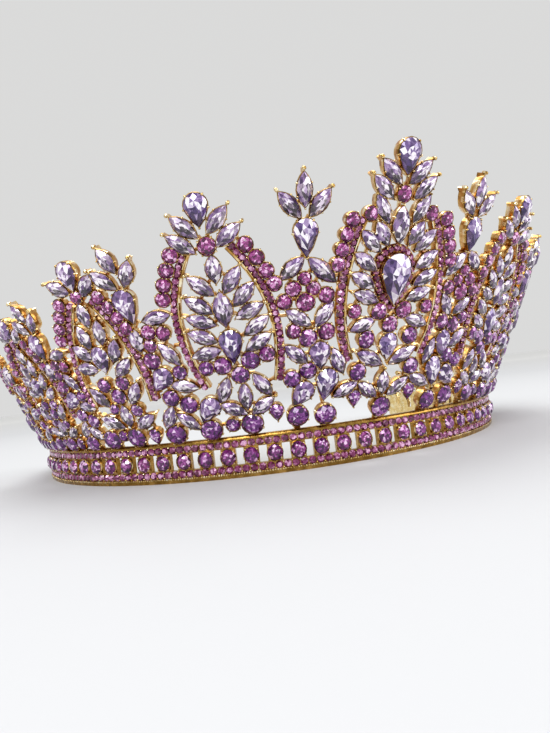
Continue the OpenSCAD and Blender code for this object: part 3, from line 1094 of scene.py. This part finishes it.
@dataclass(frozen=True)
class CrystalFinish:
    """Foil-backed cut crystal: each facet holds painted angular patches of reflected light and dark."""

    first: Stops
    second: Stops
    patch: float = 1000.0
    reflection_breakup: float = 0.3
    roughness: float = 0.05

    def make(self, name: str) -> bpy.types.Material:
        """Builds the material."""
        s = Sheet(name)
        patches = {"Vector": s.where(), "Scale": self.patch}
        # Painted reflections: Voronoi cells break each facet's tone into small patches.
        cell = s.shade("ShaderNodeTexVoronoi", {"distance": "MANHATTAN"}, patches, "Color")
        broken_reflection = s.shade("ShaderNodeSeparateColor", None, {0: cell})
        tone = s.attribute("glint") + self.reflection_breakup * (broken_reflection - 0.5)
        colour = s.blend(s.attribute("tint"), s.ramp(tone, self.first), s.ramp(tone, self.second))
        return s.finish(Base_Color=colour, Metallic=0.25, Roughness=self.roughness,
                        Coat_Weight=0.6, Coat_Roughness=0.02, IOR=1.55)


# Each ramp runs from a facet's painted dark reflection to its painted white highlight.
LAVENDER = CrystalFinish(
    stops((0.04, 54, 34, 72), (0.2, 90, 62, 112), (0.38, 134, 102, 156), (0.54, 170, 140, 184),
          (0.7, 210, 190, 220), (0.86, 250, 242, 250)),
    stops((0.04, 38, 30, 34), (0.2, 76, 66, 68), (0.38, 120, 110, 114), (0.54, 156, 144, 150),
          (0.7, 204, 194, 200), (0.86, 250, 244, 246)),
)
VIOLET = CrystalFinish(
    stops((0.04, 46, 26, 74), (0.2, 78, 54, 114), (0.38, 120, 94, 150), (0.54, 162, 138, 182),
          (0.7, 210, 196, 222), (0.86, 250, 244, 252)),
    stops((0.04, 46, 32, 40), (0.2, 84, 66, 76), (0.38, 128, 110, 122), (0.54, 166, 150, 160),
          (0.7, 212, 200, 208), (0.86, 250, 244, 248)),
)
AMETHYST = CrystalFinish(
    stops((0.04, 64, 10, 50), (0.3, 114, 28, 92), (0.52, 152, 56, 128), (0.72, 184, 92, 164),
          (0.95, 244, 200, 236)),
    stops((0.04, 48, 8, 62), (0.3, 90, 26, 104), (0.52, 128, 54, 140), (0.72, 164, 96, 172),
          (0.95, 240, 212, 242)),
    1700.0, 0.6,
)
PLUM = CrystalFinish(
    stops((0.04, 78, 16, 46), (0.35, 120, 40, 88), (0.65, 154, 70, 124), (0.94, 228, 176, 212)),
    stops((0.04, 60, 16, 66), (0.35, 96, 42, 110), (0.65, 132, 74, 144), (0.94, 222, 184, 222)),
    2200.0, 0.6,
)


@dataclass
class Materials:
    """The crown's finishes."""

    gold: bpy.types.Material = field(default_factory=lambda: GoldFinish().make("gold"))
    band: bpy.types.Material = field(default_factory=lambda: GoldFinish(clouds=0.6).make("band_gold"))
    # The cast gold carries painted shade in the openwork's hollows.
    cast: bpy.types.Material = field(default_factory=lambda: GoldFinish().make("cast_gold", shade_hollows=True))
    lavender: bpy.types.Material = field(default_factory=lambda: LAVENDER.make("lavender"))
    violet: bpy.types.Material = field(default_factory=lambda: VIOLET.make("violet"))
    amethyst: bpy.types.Material = field(default_factory=lambda: AMETHYST.make("amethyst"))
    plum: bpy.types.Material = field(default_factory=lambda: PLUM.make("plum"))


# Sub-assemblies


# Outline points of each cut that carry side prongs, and its tips
PRONGS = {
    Cut.MARQUISE: ((3, 5, 11, 13), (0, 8)),
    Cut.ROUND: ((2, 6, 10, 14), ()),
    Cut.PEAR: ((2, 5, 11, 14), (8,)),
}


@dataclass
class Kit:
    """The modelled forms and the finishes that every sub-assembly uses."""

    bench: Bench = field(default_factory=Bench)
    finishes: Materials = field(default_factory=Materials)
    plate: float = 0.9
    ball: float = 0.44
    open_reach: float = 1.0
    bead_out: float = 0.13
    bead_up: float = 0.15
    rim: float = 0.02

    def __post_init__(self) -> None:
        """Models the forms."""
        self.brilliant = self.bench.brilliant()
        self.cup = self.bench.collet()
        self.claw = self.bench.claw()
        self.grain = self.bench.grain()
        self.tiny = self.bench.tiny()
        self.bar = self.bench.bar()

    def hold(self, heap: Heap, stone: Stone, claw: float, back: float,
             others: np.ndarray | None = None) -> None:
        """Adds a stone's cup and prongs. A tip that points into the open gets a ball.

        Args:
            heap: the metal that they join.
            stone: the stone.
            claw: radius of a prong's bead.
            back: height of the cup's back.
            others: points along the outlines of the stones beside it.
        """
        heap.collet(stone, self.cup, back, self.rim)
        normals = stone.normals()
        up = stone.girdle + self.bead_up
        sides, tips = PRONGS.get(stone.cut, PRONGS[Cut.PEAR])
        for step in sides:
            n = normals[step] / np.hypot(*normals[step])
            x, y = stone.outline[step] + self.bead_out * n
            heap.set_down(self.claw, stone.place, (x, y, up), (claw, claw, claw), lean=-0.3 * n)
        for step in tips:
            n = normals[step] / np.hypot(*normals[step])
            tip = stone.outline[step]
            free = (others is not None and n[1] > -0.1
                    and np.hypot(*(others - tip - 0.8 * n).T).min() > self.open_reach)
            out, radius = (0.6, self.ball) if free else (0.2, claw * 1.15)
            x, y = tip + out * n
            heap.set_down(self.claw, stone.place, (x, y, up), (radius, radius, radius), lean=-0.15 * n)
            if free:
                heap.tie(self.bar, stone.place, tip - 0.3 * n, np.array([x, y]), 0.5, back, stone.girdle)


@dataclass
class Openwork:
    """The cast openwork of one motif: what joins its cups, its arch legs and its feet."""

    kit: Kit
    motif: Motif
    tie_width: float = 0.75
    tie_back: float = -0.9
    tie_front: float = -0.2
    lap: float = 0.35
    reach: float = 1.1
    foot_width: float = 1.5
    foot_below: float = 1.6
    foot_end: float = -0.7
    samples: int = 4

    def finer(self, outline: np.ndarray) -> np.ndarray:
        """Gives more points along an outline."""
        ahead = np.roll(outline, -1, 0)
        return np.concatenate([outline + (ahead - outline) * k / self.samples for k in range(self.samples)])

    def ties(self, heap: Heap, outlines: list[np.ndarray]) -> None:
        """Ties each outline to its near neighbours, and every group of them to the next.

        Args:
            heap: the metal that the ties join.
            outlines: points along each thing that is tied.
        """
        pairs = []
        for i, a in enumerate(outlines):
            for j in range(i):
                b = outlines[j]
                gaps = np.hypot(*(a[:, None] - b[None]).transpose(2, 0, 1))
                at = np.unravel_index(gaps.argmin(), gaps.shape)
                pairs.append((float(gaps[at]), i, j, a[at[0]], b[at[1]]))
        group = list(range(len(outlines)))
        for gap, i, j, start, end in sorted(pairs, key=lambda p: p[0]):
            if gap > self.reach and group[i] == group[j]:
                continue
            joined, left = group[i], group[j]
            group = [joined if g == left else g for g in group]
            way = (end - start) / max(gap, 1e-6)
            self.bar(heap, start - self.lap * way, end + self.lap * way)

    def bar(self, heap: Heap, start: np.ndarray, end: np.ndarray) -> None:
        """Adds one tie."""
        heap.tie(self.kit.bar, self.motif.place, start, end, self.tie_width, self.tie_back, self.tie_front)


@dataclass
class Wall:
    """The stones of the wall, with their cups and the openwork between them."""

    kit: Kit
    row_size: float = 1.7
    row_pitch: float = 1.5
    violet_below: float = 22.0
    halo_out: float = 0.95
    halo_plate: float = 1.75
    halo_pitch: float = 1.5
    claw: float = 0.25
    small_claw: float = 0.2
    small_stone: float = 3.5
    leg_inner: float = -1.45
    leg_outer: float = 0.75
    leg_steps: int = 18
    rail_top: float = 0.9

    def small_rounds(self, motif: Motif) -> list[Stone]:
        """Lists a motif's small round stones."""
        seats = list(SEATS[motif.chart])
        if motif.chart in BOWS:
            seats += BOWS[motif.chart].outer()
        share = min(motif.width, motif.height)
        return [
            stone_at(Cut.ROUND, motif.place, *motif.spot(across, up), size * share, size * share, 11.25)
            for across, up, size in seats
        ]

    def hearts(self, motif: Motif) -> list[Stone]:
        """Lists a motif's small drops."""
        stones = []
        for across, up, size in HEARTS.get(motif.chart, ()):
            x, y = motif.spot(across, up)
            w = size * motif.width
            stones.append(stone_at(Cut.PEAR, motif.place, x, y - 0.25 * motif.height, w * 1.3, w, 90))
        return stones

    def dress(self, name: str, nodes: Sequence[str], motifs: Sequence[Motif]) -> None:
        """Builds the stones and metal of a motif, or of the low motifs at one end.

        Args:
            name: what the pieces' names begin with.
            nodes: the CAD nodes of the stones.
            motifs: the motifs that the stones stand on.
        """
        metal, rounds = Heap(f"{name}_metal"), Heap(f"{name}_round_stones")
        pale = {node: Heap(f"{node}_cut") for node in nodes}
        read = [(stone, node) for node in nodes for stone in CadStones(node, motifs).read()]
        for motif in motifs:
            read += [(stone, "") for stone in self.small_rounds(motif) + self.hearts(motif)]
        for motif in motifs:
            near = [pair for pair in read if np.allclose(pair[0].place.across, motif.place.across)]
            stones = grown([stone for stone, _ in near])
            for stone, (_, node) in zip(stones, near):
                low = (self.violet_below - stone.middle[1] / motif.height) / 12 + 0.25
                low += 0.5 * rounds.chance.random()
                if stone.cut is not Cut.ROUND and node:
                    pale[node].gem(stone, self.kit.brilliant)
                elif node.endswith("foot_stone"):
                    pale[node].gem(stone, self.kit.brilliant, 1.0)
                else:
                    rounds.gem(stone, self.kit.brilliant, low)
                others = np.concatenate([s.outline for s in stones if s is not stone])
                claw = self.small_claw if stone.width < self.small_stone else self.claw
                self.kit.hold(metal, stone, claw, -self.kit.plate, others)
            self.join(metal, motif, stones)
        for node, heap in pale.items():
            finish, slot = self.kit.finishes.lavender, "crystal"
            if node.endswith("foot_stone"):
                finish, slot = self.kit.finishes.amethyst, "amethyst"
            elif node.endswith(("pear", "drop")) and ("_1_" in node or node.startswith("front")):
                finish = self.kit.finishes.violet
            heap.build(finish, slot, node)
        rounds.build(self.kit.finishes.amethyst, "amethyst", f"{name}_stones")
        metal.build(self.kit.finishes.cast, "gold", "crown_metal", smooth=True)

    def join(self, metal: Heap, motif: Motif, stones: Sequence[Stone]) -> None:
        """Joins a motif's cups, arch legs and feet.

        Args:
            metal: the metal of the motif.
            motif: the motif.
            stones: the stones that stand on it.
        """
        work = Openwork(self.kit, motif)
        outlines = [work.finer(s.outline) for s in stones]
        if motif.chart in BOWS:
            for side in (-1, 1):
                outlines.append(self.leg(metal, motif, side))
        work.ties(metal, outlines)
        for stone in stones:
            low = stone.outline[stone.outline[:, 1].argmin()]
            if stone.cut is Cut.ROUND and low[1] < work.foot_below:
                foot = np.array([stone.middle[0], work.foot_end])
                metal.tie(self.kit.bar, motif.place, stone.middle, foot, work.foot_width,
                          -self.kit.plate, 0.0)
            if stone.cut is Cut.DROP:
                self.halo(metal, stone)
        for up, start, end in TIES.get(motif.chart, ()):
            level = motif.spot(0, up)[1]
            beside = np.concatenate(outlines)
            beside = beside[np.abs(beside[:, 1] - level) < 1.2][:, 0]
            for tip, near in ((start, beside.min() + 0.5), (end, beside.max() - 0.5)):
                work.bar(metal, motif.spot(tip, up), np.array([near, level]))

    def leg(self, metal: Heap, motif: Motif, side: int) -> np.ndarray:
        """Builds one leg of an arch, and gives points along it."""
        bow = BOWS[motif.chart]
        for form in (self.channel, self.rail):
            points = []
            for t, out, z in form.points:
                up = bow.foot + (bow.top - bow.foot) * t
                points.append((*motif.spot(*bow.point(side, up, out)), z))
            metal.add(form, motif.place, np.array(points), flip=motif.place.flipped != (side > 0))
        ups = np.linspace(bow.foot, bow.top, 60)
        edges = (self.leg_outer, self.leg_inner)
        return np.array([motif.spot(*bow.point(side, u, out)) for out in edges for u in ups])

    def __post_init__(self) -> None:
        """Models the strips that make an arch's legs."""
        back, strip = -self.kit.plate, self.kit.bench.strip
        self.channel = strip(-0.8, self.leg_outer, back, 0.05, self.leg_steps, 0.1)
        self.rail = strip(self.leg_inner, -0.72, back, self.rail_top, self.leg_steps, 0.25)

    def rows(self, motifs: Sequence[Motif]) -> None:
        """Builds the rows of tiny stones along the arches."""
        stones, grains = Heap("arch_tiny_stones"), Heap("arch_grains")
        for motif in motifs:
            if motif.chart not in BOWS:
                continue
            share = min(motif.width, motif.height)
            for side in (-1, 1):
                points = BOWS[motif.chart].beads(side, self.row_pitch / share)
                r = self.row_size / 2 * share
                for x, y, turn in points:
                    at = (*motif.spot(x, y), 0.55)
                    stones.set_down(self.kit.tiny, motif.place, at, (r, r, r), turn + 22.5, darkest=0.0)
                for (x0, y0, t0), (x1, y1, _) in zip(points, points[1:]):
                    n = np.array([-math.sin(math.radians(t0)), math.cos(math.radians(t0))])
                    mid = np.array([(x0 + x1) / 2, (y0 + y1) / 2])
                    for s in (-1, 1):
                        grain = 0.18 * share
                        metal_at = (*motif.spot(*(mid + s * 0.6 * n)), 0.68)
                        grains.set_down(self.kit.grain, motif.place, metal_at, (grain, grain, grain))
        stones.build(self.kit.finishes.plum, "amethyst")
        grains.build(self.kit.finishes.gold, "gold", smooth=True)

    def halo(self, metal: Heap, drop: Stone) -> None:
        """Builds the ring of tiny stones round the drop."""
        stones = Heap("drop_halo_stones")
        outline = drop.outline + drop.normals() * self.halo_plate
        wide = Stone(drop.cut, drop.place, outline, drop.middle, 0, 0.1, 0.2)
        metal.collet(wide, self.kit.cup, -self.kit.plate, 0.0)
        ring = drop.outline + drop.normals() * self.halo_out
        ring = np.vstack([ring, ring[:1]])
        run = np.concatenate([[0], np.cumsum(np.linalg.norm(np.diff(ring, axis=0), axis=1))])
        count = int(run[-1] / self.halo_pitch)
        for k in range(count):
            for heap, form, along, out, radius, darkest in (
                (stones, self.kit.tiny, k, 0.0, 0.74, 0.0),
                (metal, self.kit.grain, k + 0.5, 0.62, 0.25, 0.35),
                (metal, self.kit.grain, k + 0.5, -0.62, 0.2, 0.35),
            ):
                s = run[-1] * along / count
                x, y = np.interp(s, run, ring[:, 0]), np.interp(s, run, ring[:, 1])
                d = np.array([x, y]) - drop.middle
                d = d / np.linalg.norm(d)
                at = (x + out * d[0], y + out * d[1], 0.6)
                heap.set_down(form, drop.place, at, (radius, radius, radius), darkest=darkest)
        stones.build(self.kit.finishes.plum, "amethyst")


@dataclass
class Band:
    """The band, with its stones, grains and beaded edge."""

    kit: Kit
    stone_size: tuple[float, float] = (3.8, 3.55)
    tiny_pitch: float = 1.95
    tiny_size: float = 1.84
    inner_from: float = 1.2
    inner_painted_light: float = 0.8
    edge_dark_reflection: float = 0.34
    tone: float = 0.4
    edge_from: float = 3.7
    claw: float = 0.22
    cup_back: float = -0.2
    grain_size: float = 0.2
    bead_pitch: float = 0.6
    bead_up: float = 0.98
    bead_size: tuple[float, float, float] = (0.24, 0.24, 0.16)

    def body(self) -> None:
        """Copies the band from the CAD metal and leaves the wall above it."""
        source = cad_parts["crown_metal"]
        Bench.clear()
        obj = bpy.data.objects.new("band", source.data.copy())
        bpy.context.scene.collection.objects.link(obj)
        bpy.context.view_layer.objects.active = obj
        obj.select_set(True)
        bpy.ops.object.mode_set(mode="EDIT")
        bpy.ops.mesh.select_all(action="SELECT")
        bpy.ops.mesh.remove_doubles(threshold=1e-6)
        top = (0, 0, BAND.height * MM + 1e-5)
        bpy.ops.mesh.bisect(plane_co=top, plane_no=(0, 0, 1), use_fill=True, clear_outer=True)
        bpy.ops.object.mode_set(mode="OBJECT")
        obj.data.materials.clear()
        obj.data.materials.append(self.kit.finishes.band)
        middle = BAND.height / 2
        # Painted light and reflection: the inner face is painted lighter, the upper and lower edges darker.
        tones = obj.data.attributes.new("glint", "FLOAT", "FACE").data
        for face in obj.data.polygons:
            x, y, z = face.center / MM
            outer = self.edge_dark_reflection if abs(z - middle) > self.edge_from else self.tone
            inside = math.hypot(x, y) < BAND.radius - self.inner_from
            tones[face.index].value = self.inner_painted_light if inside else outer
        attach(obj, BODY)
        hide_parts("crown_metal")
        LOG.info("band: %d faces", len(obj.data.polygons))

    def large_row(self) -> None:
        """Builds the row of large round stones between the windows."""
        stones, metal = Heap("band_stones"), Heap("band_cups")
        limit = BAND.reach(3.0)
        for k in range(-40, 41):
            along = BAND.seat_shift + k * BAND.seat_pitch
            if abs(along) > limit:
                continue
            place = BAND.place(along, BAND.window_up)
            stone = stone_at(Cut.ROUND, place, 0, 0, *self.stone_size, 90, gap=-0.6)
            tint = 0.15 + 0.5 * stones.chance.random() + max(0.0, along / 100)
            stones.gem(stone, self.kit.brilliant, tint)
            self.kit.hold(metal, stone, self.claw, self.cup_back)
        stones.build(self.kit.finishes.amethyst, "amethyst")
        metal.build(self.kit.finishes.gold, "gold", smooth=True)

    def tiny_rows(self) -> None:
        """Builds the two rows of tiny stones in the band's grooves."""
        stones, grains = Heap("band_tiny_stones"), Heap("band_grains")
        pitch, r = self.tiny_pitch, self.tiny_size / 2
        count = int(BAND.reach(1.2) / pitch)
        for up in (BAND.lower_row, BAND.upper_row):
            for k in range(-count, count + 1):
                place = BAND.place(k * pitch, up, -BAND.groove_depth)
                stones.set_down(self.kit.tiny, place, (0, 0, 0.4), (r, r, 0.75), 22.5, darkest=0.0)
                for s in (-1, 1):
                    at = (pitch / 2, s * 0.62, 0.45)
                    grains.set_down(self.kit.grain, place, at, (self.grain_size,) * 3)
        stones.build(self.kit.finishes.plum, "amethyst")
        grains.build(self.kit.finishes.gold, "gold", smooth=True)

    def edge_beads(self) -> None:
        """Builds the beading along the lower edge."""
        beads = Heap("band_edge_beads")
        count = int(BAND.reach(0.8) / self.bead_pitch)
        for k in range(-count, count + 1):
            place = BAND.place(k * self.bead_pitch, self.bead_up, BAND.edge_out)
            beads.set_down(self.kit.grain, place, (0, 0, 0), self.bead_size)
        beads.build(self.kit.finishes.gold, "gold", smooth=True)


@dataclass
class Studio:
    """Floor, backdrop, lights and camera."""

    floor_size: float = 30.0
    paper: Colour = srgb(197, 198, 200)
    far_painted_light: Colour = srgb(250, 250, 249)
    air: Colour = (0.8, 0.8, 0.795)
    air_strength: float = 0.88
    lens: float = 26.985
    camera_at: tuple[float, float, float] = (-69.4, -190.3, 20.8)
    camera_turns: tuple[float, ...] = (4.4627, 1.1756, -6.1362, 7.1776, 20.03)

    def sweep(self) -> None:
        """Builds the floor, painted paler far away as painted light, so that it meets the backdrop without a
        line.
        """
        Bench.clear()
        bpy.ops.mesh.primitive_plane_add(size=1, location=(0, 0, 0))
        bpy.ops.transform.resize(value=(self.floor_size, self.floor_size, 1))
        bpy.ops.object.transform_apply(location=True, rotation=True, scale=True)
        floor = bpy.context.object
        floor.name = "floor"
        s = Sheet("paper")
        where = s.where()
        cloud = s.noise(where, 3.0)
        away = s.shade("ShaderNodeVectorMath", {"operation": "LENGTH"}, {0: where}, "Value")
        # Painted light: the floor's colour grows paler with distance, standing in for light where the lamps
        # fall off.
        share = (away - 0.5) * 0.9 + 0.05 * cloud
        colour = s.blend(share, (*self.paper, 1.0), (*self.far_painted_light, 1.0))
        floor.data.materials.append(s.finish(Base_Color=colour, Roughness=0.85))

    def lamp(self, name: str, at: Sequence[float], to: Sequence[float], size: float, power: float) -> None:
        """Adds a soft box."""
        light = bpy.data.lights.new(name, "AREA")
        light.shape = "SQUARE"
        light.size = size
        light.energy = power
        obj = bpy.data.objects.new(name, light)
        obj.location = at
        obj.rotation_euler = (Vector(to) - Vector(at)).to_track_quat("-Z", "Y").to_euler()
        bpy.context.scene.collection.objects.link(obj)

    def lights(self) -> None:
        """Adds the soft studio light."""
        bpy.context.scene.view_settings.view_transform = "Standard"
        self.lamp("key", (-0.45, -0.75, 0.75), (0, -0.05, 0.03), 0.5, 7.0)
        self.lamp("fill", (0.7, -0.6, 0.35), (0, -0.05, 0.03), 0.5, 3.4)
        self.lamp("top", (0.0, 0.15, 0.9), (0, 0, 0), 0.6, 4.4)
        world = bpy.data.worlds.new("studio")
        bpy.context.scene.world = world
        world.use_nodes = True
        back = world.node_tree.nodes["Background"]
        back.inputs["Color"].default_value = (*self.air, 1)
        back.inputs["Strength"].default_value = self.air_strength

    def camera(self) -> None:
        """Adds the camera at the photograph's place."""
        data = bpy.data.cameras.new("camera")
        data.lens = self.lens
        data.clip_start = 0.01
        obj = bpy.data.objects.new("camera", data)
        e, pan, tilt, roll, turn = (math.radians(a) for a in self.camera_turns)
        eye = Vector((0, -math.cos(e), math.sin(e)))
        right, ahead = Vector((1, 0, 0)), -eye
        up = right.cross(ahead)
        base = Matrix((right, up, -ahead))
        aim = Matrix.Rotation(tilt, 3, "X") @ Matrix.Rotation(pan, 3, "Y")
        view = Matrix.Rotation(roll, 3, "Z") @ aim @ base @ Matrix.Rotation(turn, 3, "Z")
        obj.matrix_world = Matrix.Translation(Vector(self.camera_at) * MM) @ view.transposed().to_4x4()
        bpy.context.scene.collection.objects.link(obj)
        bpy.context.scene.camera = obj


def main() -> None:
    """Builds the crown's looks, sub-assembly by sub-assembly."""
    logging.basicConfig(level=logging.INFO, format="%(message)s")
    studio = Studio()
    studio.camera()
    kit = Kit()
    band = Band(kit)
    band.body()
    band.large_row()
    band.tiny_rows()
    band.edge_beads()

    wall = Wall(kit)
    nodes = sorted(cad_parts)
    motifs = all_motifs()
    for motif in motifs:
        wall.dress(motif.name, [n for n in nodes if n.startswith(motif.name + "_")], [motif])
    for word, side in SIDES:
        wall.dress(f"{word}_tail", [f"{word}_tail_stones"], tail_motifs(word, side))
    wall.rows(motifs)

    studio.sweep()
    studio.lights()


if __name__ == "__main__":
    main()
